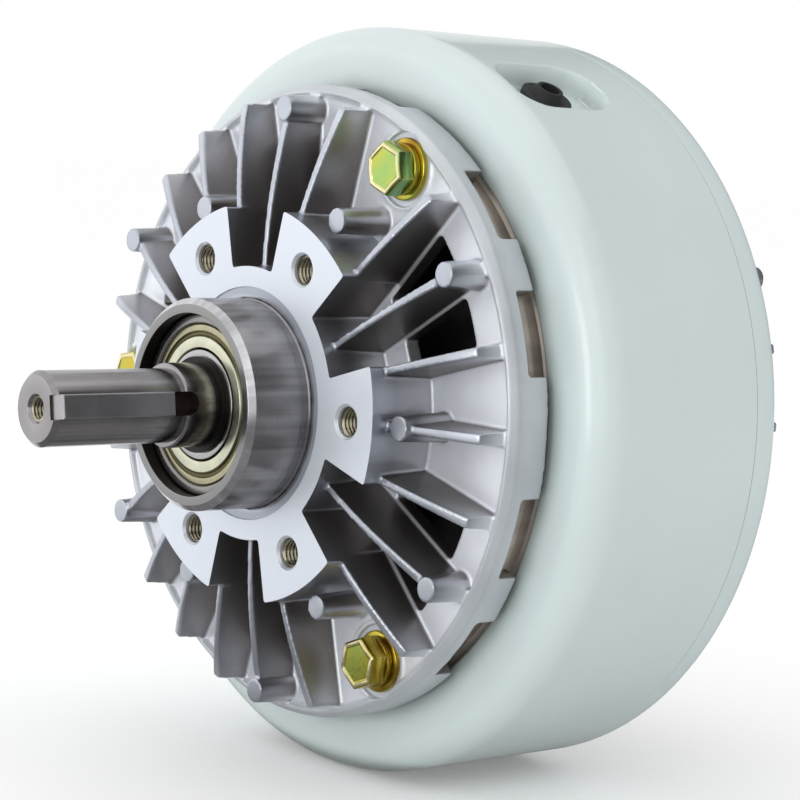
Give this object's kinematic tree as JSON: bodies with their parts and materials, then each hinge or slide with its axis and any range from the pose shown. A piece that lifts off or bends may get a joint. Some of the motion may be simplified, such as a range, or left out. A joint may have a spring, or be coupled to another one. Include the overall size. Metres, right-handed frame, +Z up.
{
  "type": "magnetic powder brake",
  "caption": "Magnetic powder brake with a finned aluminium end bracket, tapped pads round a turned spigot, a painted steel yoke and a keyed shaft end; it brakes the shaft steplessly.",
  "frame": {"origin": "on the shaft's axis, in the plane of the mounting pads' faces", "axes": "-Y out of the shaft end along the shaft's axis, +Z up, +X to the right as seen from the shaft end"},
  "size_m": [0.263, 0.2605, 0.263],
  "materials": {
    "cast_aluminium": "sand cast, pads and seats machined",
    "turned_steel": "turned",
    "painted_steel": "pale green-grey paint, semi-gloss",
    "bare_steel": "turned, slightly stained",
    "ground_steel": "ground",
    "bearing_steel": "ground and polished",
    "shield_steel": "pressed sheet",
    "key_steel": "drawn, milled ends",
    "spring_steel": "phosphated",
    "zinc_steel": "yellow passivated zinc plating",
    "black_steel": "blackened",
    "rotor_steel": "turned, plated",
    "copper": "enamelled winding under tape",
    "bobbin_plastic": "moulded",
    "nonmagnetic_ring": "turned",
    "aluminium_plate": "turned",
    "rubber": "moulded"
  },
  "bodies": {
    "housing": {"front_bracket": "cast_aluminium", "front_bearing_sleeve": "turned_steel", "front_bearing_outer_ring": "bearing_steel", "front_bearing_shields": "shield_steel", "front_shaft_seal": "rubber", "front_bracket_bolts": "zinc_steel", "front_spring_washers": "zinc_steel", "front_plain_washers": "zinc_steel", "front_seal_plate": "aluminium_plate", "front_plate_screws": "black_steel", "yoke": "painted_steel", "rear_yoke_ring": "painted_steel", "yoke_ring_screws": "black_steel", "gap_ring": "nonmagnetic_ring", "coil_bobbin": "bobbin_plastic", "coil": "copper", "lead_grommet": "rubber", "rear_bracket": "cast_aluminium", "rear_bearing_sleeve": "turned_steel", "rear_bearing_outer_ring": "bearing_steel", "rear_bearing_shields": "shield_steel", "preload_spring": "spring_steel", "rear_shaft_seal": "rubber", "rear_bracket_bolts": "zinc_steel", "rear_spring_washers": "zinc_steel", "rear_plain_washers": "zinc_steel", "rear_seal_plate": "aluminium_plate", "rear_plate_screws": "black_steel", "rear_cap": "aluminium_plate", "rear_cap_screws": "black_steel"},
    "rotor_shaft": {"shaft": "ground_steel", "shaft_key": "key_steel", "rotor": "rotor_steel", "rotor_key": "key_steel", "rotor_nut": "black_steel", "front_bearing_inner_ring": "bearing_steel", "rear_bearing_inner_ring": "bearing_steel", "front_shaft_circlip": "spring_steel", "rear_shaft_circlip": "spring_steel"},
    "front_cage": {"front_bearing_balls": "bearing_steel", "front_bearing_cage": "shield_steel"},
    "rear_cage": {"rear_bearing_balls": "bearing_steel", "rear_bearing_cage": "shield_steel"}
  },
  "joints": [
    {"name": "shaft_spin", "type": "hinge", "parent": "housing", "child": "rotor_shaft", "pos_m": [0, 0, 0], "axis": [0, -1, 0], "continuous": true},
    {"name": "front_cage_spin", "type": "hinge", "parent": "housing", "child": "front_cage", "pos_m": [0, 0, 0], "axis": [0, -1, 0], "continuous": true},
    {"name": "rear_cage_spin", "type": "hinge", "parent": "housing", "child": "rear_cage", "pos_m": [0, 0, 0], "axis": [0, -1, 0], "continuous": true}
  ],
  "couplings": [
    {"joint": "front_cage_spin", "follows": "shaft_spin", "ratio": 0.39783},
    {"joint": "rear_cage_spin", "follows": "shaft_spin", "ratio": 0.39783}
  ]
}
